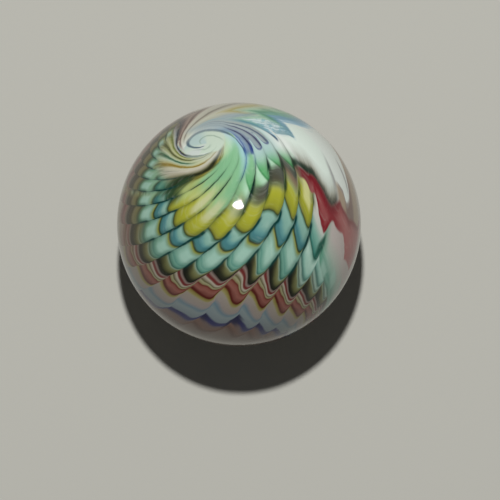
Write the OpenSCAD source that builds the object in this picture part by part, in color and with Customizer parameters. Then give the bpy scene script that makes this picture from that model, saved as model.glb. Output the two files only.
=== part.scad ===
// A handmade glass marble: one solid ball of coloured glass, worked hot and
// cooled as a single piece. Its colours were laid on as stripes, raked into
// rows of scales and twisted round an eye near the top. Here each colour is a
// field with a simple edge, cut up through the ball along one axis, and all the
// fields fuse into the plain ball. The ball's centre is the origin, +Z points
// up and -Y is the side that the rows of scales face.

/* [Ball] */
// Diameter of the ball
ball_d = 42; // [32:0.5:50]

/* [Hidden] */

R = ball_d / 2;

// Segments round the ball's widest circle, and round one scallop
BALL_FN = 96;
SCALLOP_FN = 48;

// The fields are cut along an axis tilted back from the top of the ball
AXIS_TILT = 35;
AXIS_TURN = 88;

// Scales in one row, and how far each row is turned past the one before it
SCALES = 24;
ROW_TWIST = 3;

// Each row: the angle from the axis to the notches between its scales, the
// angle to their tips, and its colour
ROWS = [
    [34, 38, [0.55, 0.76, 0.60]],   // mint feathers
    [39, 44, [0.66, 0.67, 0.25]],   // yellow scales
    [46, 51, [0.30, 0.50, 0.52]],   // blue scales
    [55, 60, [0.62, 0.76, 0.69]],   // pale green scales
    [59, 65, [0.16, 0.16, 0.11]],   // black scales
    [66, 74, [0.50, 0.27, 0.25]],   // red scales
    [80, 84, [0.53, 0.56, 0.58]],   // pale waves
    [83, 87, [0.22, 0.23, 0.48]],   // deep blue waves
];
FOOT_COLOUR = [0.60, 0.55, 0.50];

// The eye of the twist, inside the first row: its place and radius as shares of
// the ball's radius
EYE_PLACE = [0.125, 0.285];
EYE_RADIUS = 0.17;
EYE_COLOUR = [0.67, 0.75, 0.70];

// Pointed leaves laid over the first rows, one over the next: place, direction,
// length and width, as shares of the ball's radius, the last row that the leaf
// reaches, and its colour
LEAVES = [
    [[-0.26, -0.68], 25, 0.55, 0.15, 4, [0.50, 0.14, 0.16]],   // red drop
    [[-0.06, -0.58], 37, 0.80, 0.30, 3, [0.77, 0.81, 0.77]],   // white field
];

// Radius of the circle through both ends of a chord that stands a given height
// above the chord's middle
function arc_radius(half_chord, height) = (half_chord * half_chord + height * height) / (2 * height);

module ball() {
    sphere(d = ball_d, $fn = BALL_FN);
}

module round_cut(r, fn) {
    cylinder(h = R + 1, r = r, $fn = fn);
}

module eye_cut() {
    translate([EYE_PLACE[0] * R, EYE_PLACE[1] * R, 0]) round_cut(EYE_RADIUS * R, SCALLOP_FN);
}

module leaf_cut(k) {
    place = LEAVES[k][0] * R;
    half_width = LEAVES[k][3] * R / 2;
    side_r = arc_radius(LEAVES[k][2] * R / 2, half_width);
    translate([place[0], place[1], 0])
        rotate(LEAVES[k][1])
            intersection() {
                translate([0, side_r - half_width, 0]) round_cut(side_r, BALL_FN);
                translate([0, half_width - side_r, 0]) round_cut(side_r, BALL_FN);
            }
}

// A disc whose rim is a ring of scallops: the notches lie on its own circle
module row_cut(k) {
    notch_r = R * sin(ROWS[k][0]);
    chord_r = notch_r * cos(180 / SCALES);
    depth = R * sin(ROWS[k][1]) - chord_r;
    scallop_r = arc_radius(notch_r * sin(180 / SCALES), depth);
    linear_extrude(height = R + 1)
        rotate(k * ROW_TWIST) {
            circle(r = notch_r, $fn = BALL_FN);
            for (i = [0:SCALES - 1])
                rotate(i * 360 / SCALES)
                    translate([chord_r + depth - scallop_r, 0])
                        circle(r = scallop_r, $fn = SCALLOP_FN);
        }
}

module eye_field() {
    color(EYE_COLOUR) intersection() {
        ball();
        eye_cut();
    }
}

module leaf_field(k) {
    color(LEAVES[k][5]) difference() {
        intersection() {
            ball();
            leaf_cut(k);
        }
        if (k > 0)
            for (j = [0:k - 1]) leaf_cut(j);
    }
}

module row_field(k) {
    color(ROWS[k][2]) difference() {
        intersection() {
            ball();
            row_cut(k);
        }
        if (k > 0) row_cut(k - 1);
        else eye_cut();
        for (j = [0:len(LEAVES) - 1])
            if (k <= LEAVES[j][4]) leaf_cut(j);
    }
}

module foot_field() {
    color(FOOT_COLOUR) difference() {
        ball();
        row_cut(len(ROWS) - 1);
    }
}

module marble() {
    rotate([0, 0, AXIS_TURN]) rotate([0, AXIS_TILT, 0]) {
        eye_field();
        for (k = [0:len(LEAVES) - 1]) leaf_field(k);
        for (k = [0:len(ROWS) - 1]) row_field(k);
        foot_field();
    }
}

marble();
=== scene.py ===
# Looks of the handmade glass marble: the glass itself, the floor, the studio light
# and the camera. The ball of part.scad stays as it is and carries one material, whose
# colour is worked out by shader nodes from the place on the ball.

import math
from functools import reduce

import bpy
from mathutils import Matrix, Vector

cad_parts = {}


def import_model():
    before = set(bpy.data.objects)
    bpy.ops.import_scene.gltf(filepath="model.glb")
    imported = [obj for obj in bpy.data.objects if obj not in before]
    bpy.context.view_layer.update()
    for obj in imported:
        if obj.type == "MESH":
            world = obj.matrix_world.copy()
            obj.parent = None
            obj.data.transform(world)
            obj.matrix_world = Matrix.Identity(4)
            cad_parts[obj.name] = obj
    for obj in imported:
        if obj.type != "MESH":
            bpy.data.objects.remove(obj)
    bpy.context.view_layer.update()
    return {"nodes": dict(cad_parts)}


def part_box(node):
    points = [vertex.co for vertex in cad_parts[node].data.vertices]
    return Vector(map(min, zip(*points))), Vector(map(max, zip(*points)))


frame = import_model()


# --- Numbers and colours carried by shader nodes ---

FULL_TURN = 360
DEGREES = 180 / math.pi
RADIANS = math.pi / 180

# The curve between a display colour and the light it stands for
DISPLAY_OFFSET = 0.055
DISPLAY_POWER = 2.4
DISPLAY_STRAIGHT_END = 0.04
DISPLAY_STRAIGHT_SLOPE = 12.92


class Value:
    """A number or colour that comes out of a shader node."""

    tree = None

    def __init__(self, socket):
        self.socket = socket

    def __add__(self, other):
        return arithmetic("ADD", self, other)

    def __radd__(self, other):
        return arithmetic("ADD", other, self)

    def __sub__(self, other):
        return arithmetic("SUBTRACT", self, other)

    def __rsub__(self, other):
        return arithmetic("SUBTRACT", other, self)

    def __mul__(self, other):
        return arithmetic("MULTIPLY", self, other)

    def __rmul__(self, other):
        return arithmetic("MULTIPLY", other, self)

    def __truediv__(self, other):
        return arithmetic("DIVIDE", self, other)


def feed(socket, value):
    """Link a Value into a socket, or set the socket to a plain number or colour."""
    if isinstance(value, Value):
        Value.tree.links.new(value.socket, socket)
    elif isinstance(value, tuple) and len(value) == 3 and len(socket.default_value) == 4:
        socket.default_value = (*value, 1.0)
    else:
        socket.default_value = value


def arithmetic(operation, *inputs):
    node = Value.tree.nodes.new("ShaderNodeMath")
    node.operation = operation
    for socket, value in zip(node.inputs, inputs):
        feed(socket, value)
    return Value(node.outputs[0])


def sine(degrees):
    return arithmetic("SINE", degrees * RADIANS)


def cosine(degrees):
    return arithmetic("COSINE", degrees * RADIANS)


def angle_of(across, lengthwise):
    """Angle in degrees of the direction (lengthwise, across)."""
    return arithmetic("ARCTAN2", across, lengthwise) * DEGREES


def angle_from(cosine_value):
    """Angle in degrees whose cosine is given."""
    return arithmetic("ARCCOSINE", cosine_value) * DEGREES


def spiral_turn(polar):
    """Turn in degrees of a constant-angle spiral at a polar angle in degrees."""
    tangent = arithmetic("TANGENT", polar * (RADIANS / 2))
    return arithmetic("LOGARITHM", tangent, math.e) * DEGREES


def fraction(value):
    return arithmetic("FRACT", value)


def wrapped(value, low, high):
    return arithmetic("WRAP", value, high, low)


def larger(first, second):
    return arithmetic("MAXIMUM", first, second)


def smaller(first, second):
    return arithmetic("MINIMUM", first, second)


def size_of(value):
    return arithmetic("ABSOLUTE", value)


def rise(value, start, end):
    """0 before start, 1 after end, with a smooth rise between them."""
    node = Value.tree.nodes.new("ShaderNodeMapRange")
    node.interpolation_type = "SMOOTHSTEP"
    feed(node.inputs["Value"], value)
    feed(node.inputs["From Min"], start)
    feed(node.inputs["From Max"], end)
    return Value(node.outputs["Result"])


def hump(value, start, top_start, top_end, end):
    """1 between the two tops, falling smoothly to 0 at start and end."""
    return rise(value, start, top_start) * (1 - rise(value, top_end, end))


def share(value, low, high):
    """Where a value lies between low and high, from 0 to 1."""
    node = Value.tree.nodes.new("ShaderNodeMapRange")
    feed(node.inputs["Value"], value)
    node.inputs["From Min"].default_value = low
    node.inputs["From Max"].default_value = high
    return Value(node.outputs["Result"])


def follow(value, points):
    """A smooth curve through points (value, height)."""
    low = points[0][0]
    high = points[-1][0]
    bottom = min(height for _, height in points)
    top = max(height for _, height in points)
    node = Value.tree.nodes.new("ShaderNodeFloatCurve")
    curve = node.mapping.curves[0]
    for _ in points[2:]:
        curve.points.new(0.5, 0.5)
    for point, (place, height) in zip(curve.points, points):
        point.location = ((place - low) / (high - low), (height - bottom) / (top - bottom))
        point.handle_type = "AUTO_CLAMPED"
    node.mapping.update()
    feed(node.inputs["Value"], share(value, low, high))
    return Value(node.outputs["Value"]) * (top - bottom) + bottom


def bands(value, stops):
    """Colours that follow one another along a value: stops (value, colour)."""
    low = stops[0][0]
    high = stops[-1][0]
    node = Value.tree.nodes.new("ShaderNodeValToRGB")
    ramp = node.color_ramp
    while len(ramp.elements) < len(stops):
        ramp.elements.new(1.0)
    for element, (place, colour) in zip(ramp.elements, stops):
        element.position = (place - low) / (high - low)
        element.color = (*linear(colour), 1.0)
    feed(node.inputs["Fac"], share(value, low, high))
    return Value(node.outputs["Color"])


def blend(first, second, amount):
    """The first colour where amount is 0 and the second where it is 1."""
    node = Value.tree.nodes.new("ShaderNodeMix")
    node.data_type = "RGBA"
    colour_sockets = [socket for socket in node.inputs if socket.type == "RGBA"]
    feed(node.inputs[0], amount)
    for socket, colour in zip(colour_sockets, (first, second)):
        feed(socket, colour if isinstance(colour, Value) else linear(colour))
    return Value([socket for socket in node.outputs if socket.type == "RGBA"][0])


def between(first, second, amount):
    """The first number where amount is 0 and the second where it is 1."""
    return first + (second - first) * amount


def grain(across, lengthwise, depth, detail=2.0):
    """Smooth noise from 0 to 1 at a place given by three numbers."""
    place = Value.tree.nodes.new("ShaderNodeCombineXYZ")
    for socket, value in zip(place.inputs, (across, lengthwise, depth)):
        feed(socket, value)
    node = Value.tree.nodes.new("ShaderNodeTexNoise")
    node.inputs["Scale"].default_value = 1.0
    node.inputs["Detail"].default_value = detail
    Value.tree.links.new(place.outputs[0], node.inputs["Vector"])
    return Value(node.outputs[0])


def linear(colour):
    """Scene-linear colour of a display colour given as 0 to 255."""
    lights = []
    for part in colour:
        shown = part / 255
        if shown > DISPLAY_STRAIGHT_END:
            lights.append(((shown + DISPLAY_OFFSET) / (1 + DISPLAY_OFFSET)) ** DISPLAY_POWER)
        else:
            lights.append(shown / DISPLAY_STRAIGHT_SLOPE)
    return tuple(lights)


# --- The pattern: raked stripes, twisted round an eye ---

# The eye of the twist: 45 degrees down from the top of the ball, far side, a little left.
EYE_TILT = 45.0
EYE_TURN = 111.7

# Raked columns: 20 round the eye, so each is 18 degrees of turn wide. The stripes
# that run into the twist are numbered from one place earlier than the columns.
COLUMN_TURN = 18.0
FIRST_COLUMN = -8.0
LAST_COLUMN = 12.0
FIRST_STREAM = -9.0
LAST_STREAM = 11.0

# How much the stripes' own spiral lags behind the rake lines, in columns, by the
# angle from the eye: tight winding close to the eye, a long drag far from it.
STRIPE_LAG = [
    (0, 6.0), (3, 7.5), (5, 8.5), (6.5, 9.0), (7.5, 8.0), (8.5, 5.5), (9.5, 3.0), (10.5, 1.9),
    (14, 0.9), (17, 0.25), (20, 0), (23, 0.1), (26, 0.35), (30, 0.9), (35, 1.8), (40, 2.9),
    (47, 4.8), (55, 6.4), (64, 8.0), (90, 12.0),
]

# The same for the stripes at the right of the eye, which bend less.
RIGHT_LAG = [
    (0, 6.0), (3, 7.5), (5, 8.5), (6.5, 9.0), (7.5, 8.0), (8.5, 5.5), (9.5, 3.0), (10.5, 1.9),
    (14, 0.9), (17, 0.3), (20, 0.02), (23, 0.05), (26, 0.28), (31, 0.7), (36, 1.15), (41, 1.65),
    (50, 2.5), (90, 7.0),
]

# The same for the blue fingers, by the angle past each one's bend, and where that bend is.
FINGER_LAG = [
    (-13, 10), (-10.7, 6.85), (-9.1, 4.85), (-7.9, 3.95), (-4, 2.15), (-2, 1.15), (-1, 0.68),
    (0, 0.3), (1.5, 0.06), (3, 0), (6, 0.1), (10, 0.3), (16, 0.55),
]
FINGER_BEND = [(0, 6.5), (1, 8.5), (2, 10.7), (3, 13.2), (4, 15.4), (5, 17.1), (6, 18.5), (8, 20.5)]

# How far the rows of scales sink away from the eye, column by column, in degrees.
ROW_SINK = [
    (-9, -34), (-5.5, -31), (-4.5, -30), (-3.5, -27), (-2.5, -23), (-1.5, -19), (-0.5, -14),
    (0.5, -9), (1.5, -4), (2.5, -2), (3.5, 0), (4.5, 0), (5.5, 5), (6.5, 13), (7.5, 22), (8.5, 31),
    (9.5, 41), (11, 57),
]

# How far the rake lines sway from row to row, in columns, and how much of it each column takes.
UPPER_SWAY = [
    (20, -0.15), (26, -0.08), (30, 0), (34, 0.12), (38, 0.22), (48, 0.26), (51, 0.12), (54, 0.04),
    (58, 0),
]
UPPER_SHARE = [
    (-2, 0), (0, 0), (1, 0.1), (2, 0.55), (3, 1.0), (4, 1.0), (5, 1.0), (6, 0.6), (7, 0.3), (8, 0),
]
LOWER_SWAY = [(54, 0), (58, -0.06), (64, -0.18), (70, -0.24), (80, -0.1), (90, 0.1), (110, 0.1)]
LOWER_SHARE = [
    (-1, 0), (0, 0), (1, -0.3), (2, 0), (3, 0.25), (4, 0.8), (5, 1.0), (6, 1.1), (7, 1.0), (8, 0.9),
    (11, 0),
]

# The outline of one scale across its column, 0 at the cusp and 1 at its lowest point:
# leaning on the left and in front, pointed at the right and in the lower rows.
LEANING_OUTLINE = [
    (0, 0), (0.1, 0.17), (0.3, 0.5), (0.5, 0.78), (0.7, 0.97), (0.85, 1.0), (0.94, 0.95), (1, 0.7),
]
POINTED_OUTLINE = [
    (0, 0), (0.15, 0.22), (0.4, 0.54), (0.62, 0.8), (0.78, 0.97), (0.86, 1.0), (0.94, 0.85),
    (1, 0.3),
]
LOWER_OUTLINE = [
    (0, 0), (0.2, 0.24), (0.4, 0.5), (0.6, 0.8), (0.72, 0.96), (0.8, 1.0), (0.88, 0.9),
    (0.94, 0.62), (1, 0.05),
]

# How deep the scales are in degrees, by row.
SCALE_DEPTH = [
    (20, 2.5), (34, 3.5), (42, 4.2), (48, 4.6), (54, 5.4), (61, 5.9), (67, 5.6), (74, 5.8),
    (80, 5.6), (86, 4.5), (94, 5.5), (110, 3.0),
]

# How deep the scales are from column to column, as a share of the depth above.
COLUMN_DEPTH = [
    (-9, 0.3), (-4, 0.4), (-1, 0.55), (0.5, 0.65), (1.5, 0.75), (2.5, 1.0), (3.5, 1.12),
    (4.5, 1.05), (5.5, 1.2), (6.5, 1.2), (8, 0.8), (11, 0.5),
]

# How much closer together the lower rows lie at the right, by column.
ROW_CROWDING = [(3, 0), (4.5, 0.03), (5.5, 0.08), (6.1, 0.28), (7.5, 0.38), (8.5, 0.47), (11, 0.5)]

# Upper rows, by angle from the eye at the lowest point of each scale in front.
UPPER_ROWS = [
    (40.5, (146, 148, 96)), (42, (150, 152, 68)), (44.5, (148, 150, 46)), (47, (140, 142, 42)),
    (48.6, (130, 132, 44)), (49.4, (106, 108, 38)), (49.9, (50, 58, 32)), (50.3, (84, 116, 96)),
    (51.0, (122, 158, 144)), (52, (112, 150, 138)), (52.8, (84, 130, 128)), (53.6, (62, 109, 112)),
    (54.6, (62, 106, 106)), (55.1, (44, 76, 66)), (55.4, (46, 48, 24)), (55.9, (120, 126, 58)),
    (56.5, (118, 142, 112)), (57.5, (118, 154, 138)), (60.2, (122, 158, 142)),
    (61.8, (104, 146, 130)), (62.6, (84, 130, 116)), (63.1, (98, 140, 124)), (63.8, (78, 122, 106)),
    (64.5, (46, 82, 70)), (65.0, (112, 134, 116)), (66, (112, 116, 84)),
]

# Colours of the lower rows, from the dark one down to the foot.
LOWER_ROWS = [
    (64.3, (60, 100, 90)), (64.9, (116, 136, 118)), (65.5, (104, 108, 74)), (66.6, (90, 90, 56)),
    (68.2, (40, 42, 28)), (69.5, (22, 22, 16)), (70.3, (120, 106, 98)), (71, (90, 36, 34)),
    (71.6, (98, 46, 42)), (72.1, (152, 146, 130)), (73.4, (80, 74, 46)), (73.9, (134, 132, 102)),
    (74.7, (118, 110, 78)), (75.1, (88, 38, 32)), (75.9, (116, 70, 60)), (77.0, (122, 78, 68)),
    (78.0, (78, 32, 26)), (78.7, (72, 28, 22)), (79.3, (116, 104, 54)), (80.3, (130, 124, 80)),
    (81, (136, 128, 116)), (84.5, (132, 124, 118)), (86.4, (94, 114, 122)), (88, (118, 130, 130)),
    (91.6, (110, 122, 126)), (92.6, (8, 16, 76)), (94.2, (4, 10, 80)), (95.8, (100, 84, 80)),
    (98.5, (108, 80, 68)), (100.5, (88, 62, 52)), (103, (110, 92, 82)), (112, (124, 112, 102)),
]

# Rows on the left, where the scales fade into long streaks.
LEFT_ROWS = [
    (38, (140, 148, 88)), (44, (140, 150, 96)), (46.5, (98, 110, 60)), (48, (34, 56, 36)),
    (49.6, (48, 86, 68)), (51, (66, 112, 96)), (52.6, (84, 128, 110)), (53.8, (48, 96, 84)),
    (54.8, (40, 64, 44)), (56, (114, 150, 122)), (58, (108, 146, 120)), (60, (92, 134, 108)),
    (62, (70, 96, 68)), (62.8, (64, 66, 42)), (64, (102, 98, 62)), (65.5, (104, 98, 70)),
    (66.6, (64, 60, 42)), (68, (66, 62, 50)), (69, (58, 54, 44)), (70.2, (98, 90, 76)),
    (71.5, (122, 94, 84)), (73, (102, 62, 58)), (74.2, (106, 76, 68)), (76, (130, 120, 104)),
    (80, (140, 130, 116)), (90, (148, 140, 128)),
]

# Rows at the right, where the scales grow into large white and teal leaves.
RIGHT_ROWS = [
    (36, (172, 166, 160)), (46, (182, 180, 172)), (50, (172, 178, 168)), (52, (110, 155, 140)),
    (54.6, (62, 120, 108)), (55.4, (36, 84, 72)), (56.2, (130, 165, 150)), (58, (165, 192, 178)),
    (61, (118, 160, 145)), (62.4, (62, 100, 90)), (63.4, (140, 165, 150)), (64.6, (70, 80, 66)),
    (66, (105, 108, 85)),
]

# Streams of colour that run into the twist, by column where they pass nearest to it.
LEFT_STREAMS = [
    (-9.0, (58, 62, 64)), (-8.85, (30, 38, 46)), (-8.65, (98, 104, 106)), (-8.4, (156, 160, 154)),
    (-8.14, (140, 144, 108)), (-8.02, (84, 96, 34)), (-7.84, (104, 112, 50)),
    (-7.66, (146, 150, 96)), (-7.4, (166, 170, 128)), (-7.16, (128, 130, 84)),
    (-7.04, (70, 76, 32)), (-6.84, (76, 80, 40)), (-6.6, (146, 152, 108)), (-6.3, (164, 172, 144)),
    (-6.12, (104, 132, 100)), (-6.02, (26, 66, 44)), (-5.86, (60, 100, 74)),
    (-5.6, (158, 172, 148)), (-5.2, (156, 150, 104)), (-5.02, (122, 102, 38)),
    (-4.78, (130, 114, 50)), (-4.5, (172, 170, 146)), (-3.9, (170, 166, 150)),
    (-3.4, (140, 136, 114)), (-3.0, (78, 78, 52)), (-2.75, (38, 40, 22)), (-2.45, (32, 34, 18)),
    (-2.2, (86, 84, 40)), (-2.0, (126, 118, 52)), (-1.8, (88, 84, 30)), (-1.5, (150, 164, 100)),
    (0.5, (158, 196, 158)),
]

# Streams of the blue fingers and those right of them, by column likewise.
FINGER_STREAMS = [
    (0.4, (150, 188, 178)), (0.8, (142, 172, 178)), (1.0, (128, 156, 172)), (1.15, (84, 108, 136)),
    (1.3, (116, 138, 162)), (1.5, (134, 154, 178)), (1.66, (124, 146, 172)), (1.78, (72, 92, 130)),
    (1.9, (112, 134, 160)), (2.25, (118, 136, 150)), (2.42, (92, 104, 128)), (2.5, (48, 54, 84)),
    (2.58, (32, 38, 66)), (2.7, (104, 116, 136)), (2.95, (134, 148, 154)), (3.3, (136, 148, 150)),
    (3.44, (110, 120, 132)), (3.53, (50, 54, 80)), (3.6, (58, 60, 88)), (3.7, (130, 142, 150)),
    (3.95, (152, 164, 164)), (4.18, (132, 144, 146)), (4.28, (74, 88, 104)), (4.36, (70, 84, 104)),
    (4.48, (138, 148, 148)), (4.8, (150, 160, 154)), (5.0, (128, 150, 150)), (5.2, (86, 130, 138)),
    (5.5, (78, 126, 136)), (5.75, (122, 156, 160)), (6.0, (152, 166, 160)),
]
RIGHT_STREAMS = [
    (6.0, (152, 166, 160)), (6.6, (160, 162, 148)), (7.2, (168, 170, 152)), (8.1, (180, 182, 164)),
    (8.5, (162, 158, 142)), (8.8, (112, 106, 94)), (9.1, (172, 170, 154)), (9.6, (180, 178, 162)),
    (9.85, (140, 126, 114)), (10.05, (88, 72, 66)), (10.35, (142, 124, 112)), (10.75, (92, 78, 74)),
    (11.0, (76, 72, 72)),
]

# Edges of the large fields on the right, by column, as angles from the eye.
SKY_EDGE = [
    (0, 3), (0.9, 8.5), (1.05, 10.5), (1.3, 13.5), (1.6, 16.8), (1.95, 19.5), (2.4, 21.5),
    (2.85, 23.2), (3, 24.5), (3.5, 24.6), (5, 29.5), (6, 33.5), (6.5, 37), (7, 40.5), (7.4, 43.4),
    (7.6, 42.9), (8, 42.4), (8.3, 44.5), (8.8, 48.5), (9, 50.5), (9.6, 55.5), (10, 58.5), (11, 66),
]
FINGER_EDGE = [
    (2.8, 23.2), (2.87, 23), (2.95, 21), (3.02, 19.5), (3.15, 22), (3.3, 23.6), (3.5, 24.9),
    (3.75, 25.8), (3.9, 26), (3.97, 24.8), (4.03, 21.8), (4.12, 23.6), (4.25, 26), (4.45, 27.7),
    (4.65, 28.6), (4.8, 28.9), (4.88, 27.5), (4.97, 23.5), (5.1, 24.5), (5.3, 27), (5.5, 30),
    (5.65, 32.5), (5.77, 33.8), (5.85, 32.5), (5.95, 31.2), (6.1, 33.5),
]
MINT_EDGE = [
    (0, 0), (1, 5), (2, 12), (2.6, 20), (2.9, 24), (3.5, 26.5), (4, 28.2), (4.5, 30), (5, 32.5),
    (5.5, 34.8), (6, 38), (6.5, 43), (7, 50),
]
LEAF_LINE = [(0, 14), (1, 20), (2, 24), (3, 26), (4, 28.5), (5, 33.5), (6, 38.5)]
RED_TOP = [
    (6, 43.5), (6.3, 44.5), (6.6, 47.5), (7, 51.5), (7.3, 54), (7.6, 58.5), (8, 65), (8.2, 68),
    (8.4, 70), (8.7, 71.5), (9, 73), (9.2, 76), (9.5, 80), (9.8, 84), (10.1, 86.5), (11, 95),
]
RED_FOOT = [
    (6, 45.5), (6.2, 47), (6.6, 50.5), (7, 56.5), (7.2, 58), (7.35, 62), (7.5, 66), (7.75, 71),
    (8, 74), (8.25, 73.5), (8.4, 74), (8.65, 77.5), (9, 81.5), (9.3, 84.5), (9.5, 88), (9.7, 92),
    (9.9, 96), (10.1, 98), (11, 108),
]
LEAF_FOOT = [(7.9, 77), (8.1, 83), (8.5, 89.5), (9, 96.5), (9.5, 103), (10, 110), (11, 124)]
BROWN_TOP = [(8.8, 66), (9, 68), (9.4, 73.5), (9.9, 80), (10.3, 76), (11, 72)]

# Colours above the red drops, by the angle up from their edge.
FRINGE = [
    (0, (84, 66, 58)), (0.8, (56, 54, 46)), (1.8, (92, 92, 80)), (3.2, (150, 152, 140)),
    (5.5, (186, 194, 184)), (9, (204, 216, 206)),
]

# Colours of the large pale leaf, by the angle up from its lower edge.
PALE_LEAF = [
    (0, (72, 110, 94)), (1.2, (104, 148, 130)), (2.2, (92, 140, 122)), (4, (128, 162, 145)),
    (7, (158, 168, 156)), (11, (172, 164, 158)), (16, (168, 160, 154)),
]

# Colours of the mint field, by angle from the eye, and of the bands of the upper right,
# by the angle past their lower edge.
MINT_FIELD = [
    (0, (172, 196, 180)), (10, (165, 195, 175)), (18, (140, 180, 150)), (26, (122, 170, 130)),
    (33, (114, 160, 120)), (38, (124, 164, 120)), (40, (138, 160, 106)), (43, (144, 150, 84)),
]
SKY_BANDS = [
    (-30, (182, 182, 165)), (-20, (178, 176, 154)), (-17, (168, 160, 116)), (-15, (154, 148, 88)),
    (-13.5, (166, 172, 138)), (-11, (154, 180, 152)), (-9, (130, 172, 142)), (-7, (96, 150, 120)),
    (-5.5, (100, 152, 142)), (-3.8, (96, 140, 158)), (-2, (124, 160, 178)), (-0.8, (158, 184, 194)),
    (0, (190, 202, 198)),
]

# How dark the rake lines are, from the mint field down to the foot of the scales.
RAKE_DEPTH = [
    (14, 0.35), (26, 0.75), (34, 1.0), (41, 0.9), (44, 0.4), (46.5, 0.55), (48, 1.0), (54.5, 1.0),
    (56.5, 0.5), (57.5, 0.45), (59, 0.95), (61, 0.9), (63.5, 0.4), (66, 0.1), (90, 0),
]

# How wide the rake lines are, in columns.
RAKE_WIDTH = [
    (14, 0.02), (24, 0.04), (30, 0.08), (36, 0.13), (41, 0.12), (45, 0.06), (48, 0.15), (53, 0.14),
    (56, 0.07), (59, 0.12), (62, 0.09), (66, 0.05),
]

# Single colours of the glass, as displayed.
SEA_GREEN = (108, 142, 112)
UMBER = (116, 100, 90)
VEIN = (84, 84, 56)
GREEN_DARK = (36, 58, 36)
PALE_OLIVE = (156, 172, 110)
OLIVE = (112, 116, 34)
PALE_STREAK = (205, 212, 198)
OLIVE_YELLOW = (165, 172, 100)
WHITE = (206, 213, 206)
COOL_WHITE = (158, 184, 180)
SHADE = (58, 46, 46)
SHADE_FOOT = (112, 82, 72)
RED = (118, 30, 38)
RED_DARK = (92, 22, 30)
PINK = (158, 104, 100)
BEIGE = (152, 136, 116)
MAUVE = (118, 98, 90)
GREY_SMEAR = (122, 120, 122)
GREEN_EDGE = (84, 140, 116)
BLOB_GREEN = (18, 68, 54)
SMUDGE_GREEN = (26, 46, 34)
SKY_BLUE = (150, 184, 192)
LACE = (200, 214, 214)
TEAL = (66, 116, 124)
FOREST = (70, 124, 98)
LEAF_GREEN = (84, 152, 98)
DEEP_BLUE = (38, 62, 122)
BLUE_MINT = (146, 184, 188)
PALE_MINT = (170, 204, 178)
LEAF_DARK = (52, 116, 70)
FINGER_DARK = (66, 72, 118)
TIP_BLUE = (30, 60, 88)

# How the stripes wind in to the eye itself: their turn by angle from the eye.
CORE_WINDING = [
    (3, 150), (4.6, 111), (5.5, 76), (5.9, 52), (6.3, 32), (6.8, 11), (7.7, -12), (9, -29),
    (10, -42), (11.5, -54), (13, -67), (14.3, -79), (16.2, -99), (20, -135),
]

# The stripe that each turn of the winding belongs to.
CORE_STREAMS = [
    (-15, -9.0), (0, -8.85), (9, -8.0), (20, -7.0), (36, -6.0), (57, -4.95), (70, -3.9), (88, -2.5),
    (100, -1.8), (112, -1.2),
]

# Colours round the winding, from the cream on the far left to the same cream again.
CORE_COLOURS = [
    (-80, (168, 176, 170)), (-66, (194, 200, 186)), (-52, (186, 190, 178)), (-34, (200, 206, 196)),
    (-12, (188, 194, 186)), (0, (170, 176, 160)), (60, (170, 172, 130)), (96, (150, 154, 96)),
    (106, (154, 172, 118)), (116, (158, 186, 142)), (130, (158, 192, 154)), (150, (164, 196, 174)),
    (166, (160, 190, 188)), (182, (150, 180, 190)), (196, (104, 130, 150)), (206, (128, 150, 162)),
    (220, (142, 158, 162)), (240, (146, 160, 162)), (262, (154, 166, 164)), (280, (168, 176, 170)),
]

# Lines of the small spiral, as angles from the eye by turn: the dark hook, two fine
# arcs inside it, and the edge of the pale heart.
HOOK = [
    (80, 18.5), (93, 16), (105, 14.3), (120, 12.3), (135, 10.7), (150, 9.6), (165, 9.0), (180, 8.8),
    (210, 9.3), (240, 10.1), (258, 10.2), (270, 9.6), (278, 8.7), (288, 7.0), (302, 5.0),
    (320, 3.2), (340, 2.0),
]
UPPER_ARC = [
    (90, 9.2), (99, 8.4), (115, 7.3), (137, 5.9), (176, 5.0), (213, 4.8), (250, 4.2), (270, 3.0),
    (300, 2.0),
]
LOWER_ARC = [(-90, 10), (-64, 8.3), (-34, 4.8), (10, 3.7), (40, 3.1), (70, 2.6)]
HEART_EDGE = [
    (-20, 7.2), (10, 6.4), (32, 6.6), (50, 7.4), (64, 8.2), (80, 8.4), (100, 8.6), (120, 9.0),
    (135, 9.4), (150, 9.3), (180, 8.7), (210, 9.1), (240, 9.9), (262, 10.0), (275, 11), (290, 11.8),
    (305, 10.8), (318, 9.5), (331, 8.3), (340, 7.2),
]
HEART = (178, 192, 176)
HEART_BLUE = (160, 180, 176)
HEART_LILAC = (182, 190, 184)
HOOK_DARK = (52, 76, 92)
ARC_GREY = (120, 140, 124)
FAR_GREY = (144, 158, 160)
KHAKI = (172, 174, 134)
RAKE_DARK = (14, 40, 30)
RAKE_TEAL = (6, 50, 46)
RAKE_BLUE = (24, 72, 128)
BLACK = (20, 20, 16)
NAVY = (0, 2, 52)
BLUE_HAZE = (86, 90, 116)
PUFF = (146, 180, 164)
OLIVE_LOBE = (126, 126, 76)
GOLD = (190, 190, 132)
CREAM = (174, 176, 136)
BACK_PALE = (152, 144, 130)
BACK_DARK = (122, 112, 102)


# --- Zones: where each detail shows ---

def after(start, end):
    """A fade that comes in between start and end."""
    return lambda value: rise(value, start, end)


def before(start, end):
    """A fade that goes out between start and end."""
    return lambda value: 1 - rise(value, start, end)


def within(start, top_start, top_end, end):
    """A fade that is full between the two inner numbers."""
    return lambda value: hump(value, start, top_start, top_end, end)


def outside(start, low_start, low_end, end):
    """A fade that is gone between the two inner numbers."""
    return lambda value: 1 - hump(value, start, low_start, low_end, end)


def at_least(least, start, end):
    """A fade that comes in between start and end, on top of a least share."""
    return lambda value: between(least, 1, rise(value, start, end))


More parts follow.
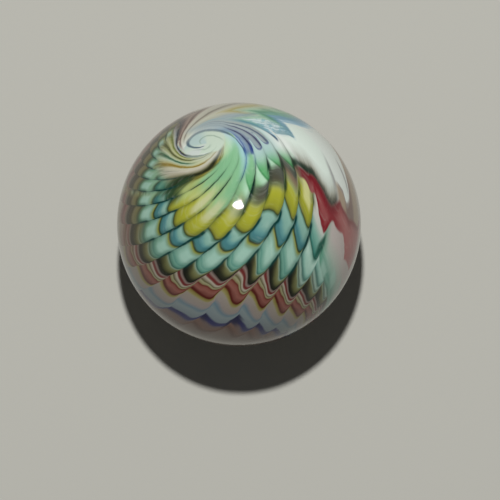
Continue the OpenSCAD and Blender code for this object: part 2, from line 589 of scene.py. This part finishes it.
class Zone:
    """Where a detail shows: its strength, and how it fades with the measures of a spot.

    The measures are in degrees or columns, or shares of a column.
    """

    def __init__(self, strength=1, **fades):
        self.strength = strength
        self.fades = fades

    def at(self, spot):
        """How strongly the detail shows at a spot."""
        amount = self.strength
        for measure, fade in self.fades.items():
            amount = fade(getattr(spot, measure)) * amount
        return amount


def strongest(spot, zones):
    """The strength at a spot of the zone that is strongest there."""
    return reduce(larger, [zone.at(spot) for zone in zones])


def painted(colour, layers, spot):
    """A colour with layers laid over it in turn: each a colour and the zones it covers."""
    for layer_colour, *zones in layers:
        colour = blend(colour, layer_colour, strongest(spot, zones))
    return colour


# --- A spot and its measures ---

# The course of the rake lines: their spiral, and how they sway sideways and ahead.
COLUMN_START = 5.56
SPIRAL_PITCH = 1.43
SIDE_SWAY = 5.94
SIDE_SWAY_SPAN = 28.8
AHEAD_SWAY = 18.51
AHEAD_SWAY_SPAN = 3.98

# The row from which the rows at the right crowd together.
CROWDING_START = 65

# The turns, in degrees, at which a round of the winding and one of the small spiral begin.
WINDING_SEAM = -80
CIRCUIT_SEAM = -20

# Drift of the whole pattern: how fine it is, and how many columns it moves for each degree.
DRIFTS_PER_RADIUS = 5
COLUMN_DRIFT = 0.1

# How fine the flecks of the lacy patch are.
FLECKS_PER_RADIUS = 22

# Noise drawn out into streaks: grains to a degree or a column across and along them,
# and the plane that the noise is cut from.
SILK = (0.9, 0.07, 7.3)
STREAKS = (0.9, 1.1, 3.7)
VEINS = (2.6, 0.05, 1.7)
CLOUDS = (1.1, 0.16, 2.2)
COMB = (9, 0.35, 5.1)
FAN = (5, 0.06, 8.1)
WEAR = (0.8, 0.1, 6.6)
FINE_DETAIL = 3.0

# How far lines slant, in degrees across a column or in columns to a degree.
SILK_SLANT = 8.5
COMB_SLANT = 1 / 36
FAN_SLANT = 0.1
TIP_SLANT = 0.05
BROWN_SLANT = 0.03
LEAF_SLANT = 11
SCALE_SLANT = 1.5

# How ragged streaks make the edge of the shade and that of the lacy patch, in degrees.
SHADE_RAGGEDNESS = 2
LACE_RAGGEDNESS = 8

# How much narrower a rake line is on the far side of its column.
RAKE_LEAN = 1.3

# The least and greatest widths of the dark hook, in degrees.
THIN_HOOK = 0.4
WIDE_HOOK = 1.05

# The lower arc follows the winding too: how far off it each degree of turn counts.
WINDING_ARC = 0.05

# Zones that shape the measures themselves.
RIGHT_SIDE = Zone(column=within(7.3, 8.8, 11.0, 12.0))
POINTED_SCALES = Zone(column=after(4.0, 5.2))
LOWER_SCALES = Zone(row=after(60, 66), column=after(2.6, 4.0))
RAISED_SCALES = Zone(1.5, scale=within(41, 46, 49, 53), column=after(4.0, 4.6))
LOWERED_SCALES = Zone(1.3, scale=within(51, 55, 64, 68), column=within(4.0, 4.4, 5.6, 6.2))
WIDER_RAKE = Zone(1.2, column=within(2.6, 3.8, 6.0, 6.6), row=within(27, 33, 39, 43))
IN_WINDING = Zone(wound=within(-14, -7, 104, 112))
PAST_WINDING = Zone(polar=after(11, 16.5))
AT_FINGERS = Zone(column=within(0.6, 1.0, 6.2, 8.0))
LEFT_OF_FINGERS = Zone(finger=before(0.5, 0.6))
AT_FINGER_EDGE = Zone(column=within(2.82, 2.87, 5.95, 6.05))
FRAYED_EDGE = Zone(7, column=after(7.5, 8.4))
SHADE_STEP = Zone(1.5, column=after(4.5, 5.8))
HOOK_BODY = Zone(circuit=within(90, 150, 300, 330))


def eye_axes():
    """The eye's direction and two directions square to it, the first pointing at -Y."""
    tilt = math.radians(EYE_TILT)
    turn = math.radians(EYE_TURN)
    level = math.sin(tilt)
    eye = Vector((level * math.cos(turn), level * math.sin(turn), math.cos(tilt)))
    front = Vector((0, -1, 0))
    ahead = (front - eye * eye.dot(front)).normalized()
    return eye, ahead, eye.cross(ahead)


def along(axis, place):
    """Share of a place that lies along an axis."""
    return place[0] * axis[0] + place[1] * axis[1] + place[2] * axis[2]


def drawn(across, lengthwise, noise, detail=2.0):
    """Noise from -0.5 to 0.5, drawn out lengthwise."""
    across_scale, lengthwise_scale, plane = noise
    return grain(across * across_scale, lengthwise * lengthwise_scale, plane, detail) - 0.5


class Spot:
    """A place on the ball, given as three numbers from -1 to 1, and its measures in the pattern.

    Its polar angle is taken from the eye and its turn round it, both in degrees. The other
    measures are worked out from these two, each from those before it.
    """

    def __init__(self, place):
        eye, ahead, aside = eye_axes()
        drift = grain(*[number * DRIFTS_PER_RADIUS for number in place]) - 0.5
        self.height = place[2]
        self.fleck = grain(*[number * FLECKS_PER_RADIUS for number in place])
        self.polar = angle_from(along(eye, place)) + drift
        self.turn = angle_of(along(aside, place), along(ahead, place))
        self.find_column(drift)
        self.find_row()
        self.find_scale()
        self.find_streams()
        self.find_edges()
        self.find_small_spiral()

    def find_column(self, drift):
        """The column between two rake lines, and streaks that run with it."""
        side_sway = (self.polar / SIDE_SWAY_SPAN - SIDE_SWAY) * sine(self.turn)
        ahead_sway = (AHEAD_SWAY - self.polar / AHEAD_SWAY_SPAN) * cosine(self.turn)
        spiral = self.turn + spiral_turn(self.polar) * SPIRAL_PITCH + (side_sway + ahead_sway)
        column = COLUMN_START + spiral / COLUMN_TURN + drift * COLUMN_DRIFT
        self.column = wrapped(column, FIRST_COLUMN, LAST_COLUMN)
        self.silk = drawn(self.polar - self.column * SILK_SLANT, self.polar, SILK)
        self.off_thread = size_of(self.silk)
        self.wear = drawn(self.column, self.polar, WEAR)
        self.comb = drawn(self.column + self.polar * COMB_SLANT, self.polar, COMB)
        self.fan_line = self.column - self.polar * FAN_SLANT
        self.fan_streak = drawn(self.fan_line, self.polar, FAN)
        self.tip_line = self.column - self.polar * TIP_SLANT
        self.brown_line = self.column + self.polar * BROWN_SLANT

    def find_row(self):
        """The row, the column as it sways from row to row, and how far across it the spot is."""
        row = self.polar - follow(self.column, ROW_SINK)
        self.row = row + larger(row - CROWDING_START, 0) * follow(self.column, ROW_CROWDING)
        self.raked = self.column - follow(self.row, UPPER_SWAY) * follow(self.column, UPPER_SHARE)
        self.raked = self.raked - follow(self.row, LOWER_SWAY) * follow(self.column, LOWER_SHARE)
        self.across = fraction(self.raked)
        rake_width = follow(self.row, RAKE_WIDTH) * (1 + WIDER_RAKE.at(self))
        self.from_rake = smaller(self.across, (1 - self.across) * RAKE_LEAN) / rake_width

    def find_scale(self):
        """The row with the outline of the scales taken off, which is the same all along an edge."""
        leaning = follow(self.across, LEANING_OUTLINE)
        pointed = follow(self.across, POINTED_OUTLINE)
        outline = between(leaning, pointed, POINTED_SCALES.at(self))
        outline = between(outline, follow(self.across, LOWER_OUTLINE), LOWER_SCALES.at(self))
        depth = follow(self.row, SCALE_DEPTH) * follow(self.column, COLUMN_DEPTH)
        self.scale = self.row + depth * (1 - outline)
        self.scale = self.scale + RAISED_SCALES.at(self)
        self.scale = self.scale - LOWERED_SCALES.at(self)
        self.streak = drawn(self.scale, self.column, STREAKS, FINE_DETAIL)
        self.slanted = self.scale + rise(self.across, 0, 1) * SCALE_SLANT
        self.shaded_row = self.scale + self.streak * SHADE_RAGGEDNESS + SHADE_STEP.at(self)

    def find_streams(self):
        """The stripe that runs into the twist here, close to the eye and in the blue fingers."""
        right_lag = follow(self.polar, RIGHT_LAG)
        lag = between(follow(self.polar, STRIPE_LAG), right_lag, RIGHT_SIDE.at(self))
        stream = wrapped(self.column - lag, FIRST_STREAM, LAST_STREAM)
        self.off_winding = self.turn - follow(self.polar, CORE_WINDING)
        self.wound = wrapped(self.off_winding, WINDING_SEAM, WINDING_SEAM + FULL_TURN)
        inner = between(stream, follow(self.wound, CORE_STREAMS), IN_WINDING.at(self))
        self.stream = between(inner, stream, PAST_WINDING.at(self))
        self.vein = size_of(drawn(self.stream, self.polar, VEINS, FINE_DETAIL))
        bend = follow(self.column, FINGER_BEND)
        finger = self.column - follow(self.polar - bend, FINGER_LAG)
        self.finger = between(self.stream, finger, AT_FINGERS.at(self))
        self.finger = between(self.finger, self.stream, LEFT_OF_FINGERS.at(self))

    def find_edges(self):
        """Angles past the edges of the large fields, down from the eye."""
        finger_edge = follow(self.column, FINGER_EDGE)
        sky_edge = between(follow(self.column, SKY_EDGE), finger_edge, AT_FINGER_EDGE.at(self))
        self.past_sky = self.polar - sky_edge
        self.ragged = self.past_sky + self.silk * LACE_RAGGEDNESS
        self.frayed = self.past_sky + self.silk * FRAYED_EDGE.at(self)
        self.cloud = drawn(self.column, self.past_sky, CLOUDS)
        self.past_mint = self.polar - follow(self.column, MINT_EDGE)
        self.past_red_top = self.polar - follow(self.column, RED_TOP)
        self.past_red_foot = self.polar - follow(self.column, RED_FOOT)
        self.past_brown_top = self.polar - follow(self.column, BROWN_TOP)
        self.short_of_foot = follow(self.column, LEAF_FOOT) - self.polar
        leaf_line = follow(self.raked - self.across, LEAF_LINE)
        self.past_leaf = self.polar - leaf_line - self.across * LEAF_SLANT

    def find_small_spiral(self):
        """How far the spot is from each line of the small spiral at the eye."""
        self.circuit = wrapped(self.turn, CIRCUIT_SEAM, CIRCUIT_SEAM + FULL_TURN)
        self.past_heart = self.polar - follow(self.circuit, HEART_EDGE)
        self.off_upper_arc = size_of(self.polar - follow(self.circuit, UPPER_ARC))
        off_lower_arc = size_of(self.polar - follow(self.turn, LOWER_ARC))
        self.off_lower_arc = smaller(off_lower_arc, size_of(self.off_winding) * WINDING_ARC)
        hook_width = between(THIN_HOOK, WIDE_HOOK, HOOK_BODY.at(self))
        self.off_hook = size_of(self.polar - follow(self.circuit, HOOK)) / hook_width


# --- Rows of scales ---

IN_RIGHT_ROWS = Zone(raked=after(6.98, 7.05))
UPPER_ROW_LAYERS = [
    (GOLD, Zone(0.75, across=within(0.2, 0.45, 0.7, 0.9), scale=within(35, 39, 44, 47),
                column=after(5.8, 6.3))),
    (PALE_OLIVE, Zone(0.85, scale=within(30, 34, 46.5, 49), column=before(-0.8, -0.1))),
    (GREEN_DARK, Zone(0.85, slanted=within(45, 48, 50.5, 52), column=before(-1.1, -0.2))),
    (OLIVE, Zone(0.55, across=outside(0.0, 0.3, 0.7, 1.0), scale=within(39, 43, 47.5, 49),
                 column=after(-0.5, 0.3))),
]

IN_LOWER_ROWS = Zone(scale=after(64.4, 64.9))
SALMON_CUPS = Zone(1.2, across=within(0.2, 0.55, 0.8, 0.98), scale=within(72.2, 74.5, 75.6, 78.0))
LOWER_ROW_LAYERS = [
    (BLUE_HAZE, Zone(0.2, across=after(0.3, 0.9), scale=within(91.5, 92.5, 95, 96.5))),
    (NAVY, Zone(0.9, column=within(3.9, 5.0, 6.9, 7.6), across=before(0.02, 0.4),
                scale=within(91.2, 92.4, 95.0, 97.5))),
    (NAVY, Zone(0.9, column=within(5.95, 6.04, 6.15, 6.6), scale=within(89.8, 91, 96.5, 98.5))),
    (BLACK, Zone(0.7, scale=within(65.3, 66.3, 68.8, 69.6), across=before(0.12, 0.5),
                 column=after(1.5, 3.0))),
]

IN_PALE_LEAF = Zone(column=after(7.95, 8.05), short_of_foot=after(-0.4, 0.4))
PALE_LEAF_LAYERS = [(GREEN_EDGE, Zone(0.6, column=before(8.1, 8.5)))]

LEFT_ROW_LAYERS = [(OLIVE_LOBE, Zone(0.75, column=before(-6.8, -5.6), scale=before(61, 63)))]
PAST_LEFT_ROWS = [
    Zone(column=after(-1.0, 3.0)),
    Zone(column=after(-2.0, -0.5), scale=before(57, 62)),
]
PUFF_LAYERS = [(PUFF, Zone(0.7, across=within(0.15, 0.45, 0.75, 0.95), scale=within(56.5, 58, 60, 62)))]


def scales(spot):
    """The rows of scales: the upper ones, the lower ones, the pale leaf and those on the left."""
    right_rows = bands(spot.scale, RIGHT_ROWS)
    rows = blend(bands(spot.scale, UPPER_ROWS), right_rows, IN_RIGHT_ROWS.at(spot))
    rows = painted(rows, UPPER_ROW_LAYERS, spot)
    lower_rows = bands(spot.scale + SALMON_CUPS.at(spot), LOWER_ROWS)
    rows = blend(rows, painted(lower_rows, LOWER_ROW_LAYERS, spot), IN_LOWER_ROWS.at(spot))
    pale_leaf = painted(bands(spot.short_of_foot, PALE_LEAF), PALE_LEAF_LAYERS, spot)
    rows = blend(rows, pale_leaf, IN_PALE_LEAF.at(spot))
    left_rows = painted(bands(spot.scale, LEFT_ROWS), LEFT_ROW_LAYERS, spot)
    rows = blend(left_rows, rows, strongest(spot, PAST_LEFT_ROWS))
    return painted(rows, PUFF_LAYERS, spot)


# --- Streams of colour near the eye ---

PAST_LEFT_STREAMS = Zone(stream=after(0.4, 0.5))
PAST_FINGERS = Zone(finger=after(5.9, 6.1))
STREAM_LAYERS = [
    (FAR_GREY, Zone(finger=within(4.85, 5.05, 5.5, 5.7), polar=before(17, 23))),
    (SEA_GREEN, Zone(0.6, stream=within(-6.3, -5.8, -3.0, -2.4), polar=after(22, 28))),
    (UMBER, Zone(0.6, stream=within(-9.0, -8.9, -8.3, -8.0), polar=after(21, 27))),
    (VEIN, Zone(0.75, vein=before(0.0, 0.12), stream=within(-9.0, -8.6, -3.6, -2.6),
                polar=after(19, 28))),
    (SEA_GREEN, Zone(0.7, stream=within(-4.9, -4.5, -3.3, -3.0), polar=within(25, 29, 34, 38))),
    (FAR_GREY, Zone(0.75, circuit=within(140, 165, 225, 245), polar=before(14, 19))),
]


def streams_near_eye(spot):
    """The streams on the left, the blue fingers and the streams on the right."""
    left = bands(spot.stream, LEFT_STREAMS)
    streams = blend(left, bands(spot.finger, FINGER_STREAMS), PAST_LEFT_STREAMS.at(spot))
    streams = blend(streams, bands(spot.finger, RIGHT_STREAMS), PAST_FINGERS.at(spot))
    return painted(streams, STREAM_LAYERS, spot)


# --- The small spiral at the eye itself ---

WINDING_LAYERS = [
    (KHAKI, Zone(0.8, stream=within(-6.5, -6.2, -5.4, -5.2))),
    (HEART_LILAC, Zone(0.4, polar=before(8, 13))),
]
HEART_LAYERS = [
    (HEART_BLUE, Zone(circuit=within(180, 235, 270, 300))),
    (HEART_LILAC, Zone(circuit=after(290, 310))),
]
PAST_HEART = Zone(past_heart=after(-0.8, 0.5))
ARC_LAYERS = [
    (ARC_GREY, Zone(0.6, off_upper_arc=before(0.1, 0.7), circuit=within(96, 130, 265, 285))),
    (ARC_GREY, Zone(0.45, off_lower_arc=before(0.1, 0.8), turn=within(-62, -40, 30, 95))),
]
HOOK_LINE = Zone(off_hook=before(0.3, 1.4), circuit=within(96, 120, 328, 340))
FAR_HOOK = Zone(circuit=within(120, 170, 240, 275))
HOOK_STRENGTH = 0.9
FAR_HOOK_STRENGTH = 0.6


def small_spiral(spot):
    """The stripes wound round a pale heart, with two fine arcs and the dark hook over them."""
    streams = bands(spot.stream, LEFT_STREAMS)
    core = blend(bands(spot.wound, CORE_COLOURS), streams, IN_WINDING.at(spot))
    core = painted(core, WINDING_LAYERS, spot)
    core = blend(painted(HEART, HEART_LAYERS, spot), core, PAST_HEART.at(spot))
    core = painted(core, ARC_LAYERS, spot)
    hook_strength = between(HOOK_STRENGTH, FAR_HOOK_STRENGTH, FAR_HOOK.at(spot))
    return blend(core, HOOK_DARK, HOOK_LINE.at(spot) * hook_strength)


# --- Plain streaked glass of the far side, where the pattern runs out ---

BACK_SLANT = 1.5
BACK_STREAKS_ROUND = 4
BACK_STREAKS_DOWN = 0.015
BACK_STREAK_START = 0.35
BACK_STREAK_END = 0.65


def far_glass(spot):
    """Pale glass with darker streaks."""
    veer = spot.turn + spot.polar * BACK_SLANT
    streak = grain(cosine(veer) * BACK_STREAKS_ROUND, sine(veer) * BACK_STREAKS_ROUND,
                   spot.polar * BACK_STREAKS_DOWN, FINE_DETAIL)
    return blend(BACK_PALE, BACK_DARK, rise(streak, BACK_STREAK_START, BACK_STREAK_END))


# --- Bands and lacy patch of the upper right ---

BAND_RAGGEDNESS = 5
IN_SKY = Zone(column=within(5.3, 6.0, 11, 12), past_sky=after(-24, -15), polar=after(16, 20))
SKY_LAYERS = [
    (FAR_GREY, Zone(column=before(6.8, 7.8), past_sky=before(-13, -10))),
    (FOREST, Zone(0.55, cloud=after(-0.02, 0.12), past_sky=within(-13, -10, -6, -4))),
]
SKY_THREADS = Zone(0.5, off_thread=before(0.015, 0.06), column=within(5.6, 6.0, 7.6, 8.4),
                   past_sky=within(-16, -12, -3, -1))
LACY_PATCH = Zone(0.85, column=within(5.4, 6.1, 6.9, 7.6), ragged=within(-11.5, -7.5, -1.2, 0.6))
LACE_LAYERS = [
    (SKY_BLUE, Zone(fleck=after(0.46, 0.6))),
    (TEAL, Zone(0.6, off_thread=before(0.015, 0.06))),
]
LACE_EDGE_LAYERS = [
    (TEAL, Zone(0.6, column=within(5.9, 6.4, 7.6, 8.1), past_sky=within(-3.2, -1.8, -0.9, -0.2))),
]


def with_sky(above, spot):
    """The streams with the bands, threads and lacy patch of the upper right laid over them."""
    in_sky = IN_SKY.at(spot)
    sky = bands(spot.past_sky + spot.silk * BAND_RAGGEDNESS, SKY_BANDS)
    above = blend(above, painted(sky, SKY_LAYERS, spot), in_sky)
    above = blend(above, TEAL, SKY_THREADS.at(spot) * in_sky)
    above = blend(above, painted(LACE, LACE_LAYERS, spot), LACY_PATCH.at(spot))
    return painted(above, LACE_EDGE_LAYERS, spot)


# --- Fields between the streams and the scales ---

MINT_LAYERS = [
    (OLIVE_YELLOW, Zone(polar=after(21, 31), column=before(0.2, 1.6))),
    (BLUE_MINT, Zone(0.85, column=within(0.3, 1.0, 1.9, 2.5), past_sky=before(1, 9))),
    (LEAF_GREEN, Zone(0.9, past_leaf=within(-6, -0.6, -0.2, 0.3), column=after(1.8, 3.0))),
    (PALE_MINT, Zone(0.7, past_leaf=within(0.1, 0.8, 1.5, 5), column=after(1.8, 3.0))),
    (LEAF_DARK, Zone(0.6, past_leaf=within(-0.9, -0.3, -0.1, 0.5), column=after(1.8, 3.0))),
]
WHITE_LAYERS = [(WHITE, Zone(column=after(4.5, 6.0)))]
IN_MINT = Zone(past_mint=after(-1.6, 4.2), column=before(6.2, 6.6))

SHADED = Zone(0.9, shaded_row=within(34.5, 37.5, 39.5, 44.5), column=within(1.6, 4.0, 6.2, 6.6))
SHADE_LAYERS = [(SHADE_FOOT, Zone(shaded_row=after(38, 40.5), column=after(4.9, 5.6)))]

IN_FRINGE = Zone(column=within(6.2, 6.7, 8.6, 9.2))
FRINGE_RAGGEDNESS = 1.8
SMEAR_LAYERS = [
    (GREY_SMEAR, Zone(0.7, column=within(8.6, 8.84, 8.88, 8.98), polar=within(57, 64, 66, 71)),
     Zone(0.7, column=within(9.85, 10.0, 10.03, 10.15), polar=within(67, 72, 76, 80))),
]

IN_BROWN = Zone(column=after(8.75, 9.05), past_brown_top=after(-1, 1.5))
BROWN_LAYERS = [(MAUVE, Zone(brown_line=after(11.72, 12.12), column=before(10.2, 10.6)))]
BROWN_EDGE_LAYERS = [
    (MAUVE, Zone(0.7, past_brown_top=within(-1.0, 0, 0.2, 1.6), column=within(9.0, 9.2, 9.8, 10))),
]

IN_RED = Zone(column=after(6.1, 6.5), past_red_top=after(-0.8, 0.8))
RED_LAYERS = [
    (PINK, Zone(0.8, column=within(6.2, 6.6, 7.0, 7.25), past_red_foot=after(-4, -1)),
     Zone(0.75, column=after(8.5, 9.6))),
    (PINK, Zone(0.4, past_red_top=after(2, 5), past_red_foot=before(-4, -1))),
    (RED_DARK, Zone(0.6, past_red_top=within(-1, 0, 0.5, 3)), Zone(0.75, column=before(6.6, 7.4))),
]


def fields(spot):
    """The mint, white, shaded, brown and red fields."""
    mint = painted(bands(spot.scale, MINT_FIELD), MINT_LAYERS, spot)
    field = blend(painted(COOL_WHITE, WHITE_LAYERS, spot), mint, IN_MINT.at(spot))
    field = blend(field, painted(SHADE, SHADE_LAYERS, spot), SHADED.at(spot))
    fringe = bands(spot.comb * FRINGE_RAGGEDNESS - spot.past_red_top, FRINGE)
    field = blend(field, fringe, IN_FRINGE.at(spot))
    field = painted(field, SMEAR_LAYERS, spot)
    field = blend(field, painted(BEIGE, BROWN_LAYERS, spot), IN_BROWN.at(spot))
    field = painted(field, BROWN_EDGE_LAYERS, spot)
    return blend(field, painted(RED, RED_LAYERS, spot), IN_RED.at(spot))


# --- Dark rake lines between the columns ---

RAKE_LAYERS = [
    (RAKE_TEAL, Zone(row=after(40, 46))),
    (RAKE_BLUE, Zone(column=within(1.4, 1.8, 3.1, 3.5), polar=before(22, 29))),
]
ACROSS_RAKE = [
    Zone(from_rake=before(0.2, 1)),
    Zone(0.45, across=after(0.68, 1.0)),
    Zone(0.45, across=before(0.0, 0.22)),
]
RAKED_LEFT = [
    Zone(column=after(-5, -2)),
    Zone(row=after(55, 58), column=after(-8.6, -7.6)),
]
RAKED_BELOW_SKY = [
    Zone(past_sky=after(-1, 1.5)),
    Zone(column=before(-1.9, -1.2)),
]
RAKED = Zone(column=before(7.3, 7.6), polar=after(14, 22))
WORN_RAKE = Zone(wear=at_least(0.35, -0.08, 0.08))
FRESH_RAKE = Zone(row=after(36, 44))
FINGER_RAKE = Zone(column=within(1.6, 1.8, 2.1, 2.3), polar=within(17.5, 19.5, 24, 28))
LEFT_OF_RED = Zone(column=before(5.7, 6.3))


def rake_depth(spot, in_rows):
    """How dark the rake lines are at a spot."""
    depth = follow(spot.row, RAKE_DEPTH) * RAKED.at(spot)
    depth = depth * strongest(spot, RAKED_LEFT) * strongest(spot, RAKED_BELOW_SKY)
    depth = depth * between(WORN_RAKE.at(spot), 1, FRESH_RAKE.at(spot))
    depth = larger(depth, FINGER_RAKE.at(spot)) * larger(LEFT_OF_RED.at(spot), in_rows)
    return depth * strongest(spot, ACROSS_RAKE)


# --- The whole pattern ---

TOWARDS_BACK = Zone(polar=after(52, 66))
IN_FIELDS = Zone(frayed=after(-0.8, 0.8), column=within(-1.9, -1.2, 11, 12))
NEAR_EYE = Zone(polar=before(10.5, 14.5))
UPPER_SIDE = Zone(height=after(-0.5, -0.08))

# Which part the scales cover: in front, below the red drops, and on the left.
IN_FRONT = Zone(scale=after(41, 43.5), column=after(-2.2, -1.4))
BELOW_RED = Zone(past_red_foot=after(-0.5, 0.5))
RIGHT_OF_FRONT = Zone(column=after(6.0, 6.3))
ON_LEFT = [
    Zone(column=within(-4.2, -3.0, -2.2, -1.4), polar=after(24, 30), row=after(47, 51)),
    Zone(column=within(-8.6, -7.6, -2.2, -1.4), scale=after(57, 60.5)),
]
SHORT_OF_BACK = Zone(column=before(11, 12))

# Fine lines along the edge of the streams.
EDGE_LAYERS = [
    (HOOK_DARK, Zone(0.85, column=within(1.0, 1.3, 1.8, 2.1), past_sky=within(-1.3, -0.3, 0.1, 0.8))),
    (DEEP_BLUE, Zone(0.5, column=within(1.6, 1.85, 2.0, 2.7), past_sky=within(-1.4, -0.3, 0.1, 1.6))),
    (DEEP_BLUE, Zone(0.7, column=within(2.45, 2.65, 2.84, 2.92), past_sky=within(-3.4, -1.2, 0, 0.8))),
    (TIP_BLUE, Zone(0.9, tip_line=within(3.9, 4.02, 4.08, 4.16), polar=within(28, 32, 33, 34.4))),
    (FINGER_DARK, Zone(0.7, column=within(2.95, 3.1, 4.8, 4.95),
                       past_sky=within(-0.5, -0.15, 0.1, 0.5))),
]

# Pale bodies of the upper scales, and the dark fan on the left.
BODY_LAYERS = [
    (CREAM, Zone(0.75, across=within(0.2, 0.5, 0.7, 0.9), scale=within(34, 38.5, 42, 45.5),
                 column=within(-0.5, 0.2, 2.2, 3.4))),
    (GREEN_DARK, Zone(0.9, fan_line=within(-5.3, -4.85, -4.25, -3.75), polar=within(17, 21, 29, 36),
                      fan_streak=at_least(0.35, -0.1, 0.06))),
]

# Two dark green spots by the red drops, and pale streaks over everything.
LAST_LAYERS = [
    (BLOB_GREEN, Zone(0.9, column=within(7.62, 7.85, 8.02, 8.2), polar=within(74.0, 76, 78.5, 82))),
    (SMUDGE_GREEN, Zone(0.85, column=within(5.85, 6.15, 7.35, 7.55),
                        past_red_top=within(-3, -1.2, -0.6, 0.3))),
    (PALE_STREAK, Zone(0.1, streak=after(0.0, 0.3), scale=before(60, 66))),
]


def share_of_scales(spot):
    """How far the scales cover a spot."""
    front_or_right = between(IN_FRONT.at(spot), BELOW_RED.at(spot), RIGHT_OF_FRONT.at(spot))
    return larger(front_or_right, strongest(spot, ON_LEFT)) * SHORT_OF_BACK.at(spot)


def glass_colour(place):
    """Colour of the glass at a place on the ball, given as three numbers from -1 to 1."""
    spot = Spot(place)
    back = far_glass(spot)
    above = with_sky(blend(streams_near_eye(spot), back, TOWARDS_BACK.at(spot)), spot)
    colour = blend(above, fields(spot), IN_FIELDS.at(spot))
    colour = blend(colour, small_spiral(spot), NEAR_EYE.at(spot))
    colour = painted(colour, EDGE_LAYERS, spot)
    in_rows = share_of_scales(spot)
    colour = blend(colour, scales(spot), in_rows)
    colour = painted(colour, BODY_LAYERS, spot)
    colour = blend(colour, painted(RAKE_DARK, RAKE_LAYERS, spot), rake_depth(spot, in_rows))
    colour = painted(colour, LAST_LAYERS, spot)
    return blend(back, colour, UPPER_SIDE.at(spot))


# --- Scene ---

# The ball's radius, from the frame.
lowest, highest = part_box("marble")
RADIUS = (highest.z - lowest.z) / 2

# The camera looks straight down from far above, through a long lens.
SENSOR_WIDTH = 36.0
CAMERA_HEIGHT = 1.60
FRAME_WIDTH = 0.0860
VIEW_CENTRE = Vector((0.0019, -0.0044, 0))

# The softbox: where it hangs, how wide it is and its power; and the light from all round.
KEY_ELEVATION = 72.0
KEY_TURN = 92.0
KEY_DISTANCE = 1.2
KEY_WIDTH = 0.05
KEY_POWER = 17.0
FILL_STRENGTH = 0.09

# The gloss of the glass, and the fine scuffs that make its highlight uneven.
GLASS_ROUGHNESS = 0.025
GLASS_IOR = 1.5
GLASS_SPECULAR = 0.35
SCUFFS_PER_RADIUS = 44
SCUFF_HEIGHT = 0.000022

FLOOR_SIZE = 3.0
FLOOR_COLOUR = (166, 165, 157)
FLOOR_ROUGHNESS = 0.9


def plain_material(name, colour, roughness):
    material = bpy.data.materials.new(name)
    material.use_nodes = True
    shader = material.node_tree.nodes["Principled BSDF"]
    shader.inputs["Base Color"].default_value = (*linear(colour), 1.0)
    shader.inputs["Roughness"].default_value = roughness
    return material


def marble_material():
    """Glossy glass whose colour is worked out at each place on the ball."""
    material = bpy.data.materials.new("swirled_glass")
    material.use_nodes = True
    Value.tree = material.node_tree
    shader = material.node_tree.nodes["Principled BSDF"]
    shader.inputs["Roughness"].default_value = GLASS_ROUGHNESS
    shader.inputs["IOR"].default_value = GLASS_IOR
    shader.inputs["Specular IOR Level"].default_value = GLASS_SPECULAR

    position = material.node_tree.nodes.new("ShaderNodeTexCoord")
    split = material.node_tree.nodes.new("ShaderNodeSeparateXYZ")
    material.node_tree.links.new(position.outputs["Object"], split.inputs[0])
    place = [Value(output) * (1 / RADIUS) for output in split.outputs]
    feed(shader.inputs["Base Color"], glass_colour(place))
    scuffs = material.node_tree.nodes.new("ShaderNodeBump")
    scuffs.inputs["Strength"].default_value = 1.0
    scuffs.inputs["Distance"].default_value = SCUFF_HEIGHT
    scuffed = grain(*[number * SCUFFS_PER_RADIUS for number in place], FINE_DETAIL)
    feed(scuffs.inputs["Height"], scuffed)
    material.node_tree.links.new(scuffs.outputs["Normal"], shader.inputs["Normal"])
    return material


def add_floor():
    bpy.ops.mesh.primitive_plane_add(size=FLOOR_SIZE, location=(0, 0, -RADIUS))
    floor = bpy.context.object
    floor.name = "floor"
    floor.data.materials.append(plain_material("pale_floor", FLOOR_COLOUR, FLOOR_ROUGHNESS))


def add_key_light():
    """One small softbox, high above the far side of the ball."""
    elevation = math.radians(KEY_ELEVATION)
    turn = math.radians(KEY_TURN)
    level = math.cos(elevation)
    direction = Vector((level * math.cos(turn), level * math.sin(turn), math.sin(elevation)))
    light = bpy.data.lights.new("softbox", "AREA")
    light.shape = "DISK"
    light.size = KEY_WIDTH
    light.energy = KEY_POWER
    lamp = bpy.data.objects.new("softbox", light)
    lamp.location = direction * KEY_DISTANCE
    lamp.rotation_euler = direction.to_track_quat("Z", "Y").to_euler()
    bpy.context.scene.collection.objects.link(lamp)


def add_fill_light():
    """Faint even light from all round."""
    world = bpy.data.worlds.new("studio")
    world.use_nodes = True
    background = world.node_tree.nodes["Background"]
    background.inputs["Color"].default_value = (1.0, 1.0, 1.0, 1.0)
    background.inputs["Strength"].default_value = FILL_STRENGTH
    bpy.context.scene.world = world


def add_camera():
    camera = bpy.data.cameras.new("camera")
    camera.sensor_width = SENSOR_WIDTH
    camera.lens = camera.sensor_width * CAMERA_HEIGHT / FRAME_WIDTH
    holder = bpy.data.objects.new("camera", camera)
    holder.location = VIEW_CENTRE + Vector((0, 0, CAMERA_HEIGHT))
    bpy.context.scene.collection.objects.link(holder)
    bpy.context.scene.camera = holder


glass = marble_material()
for material_slot in frame["nodes"]["marble"].material_slots:
    material_slot.material = glass
add_floor()
add_key_light()
add_fill_light()
add_camera()
bpy.context.scene.view_settings.view_transform = "Standard"
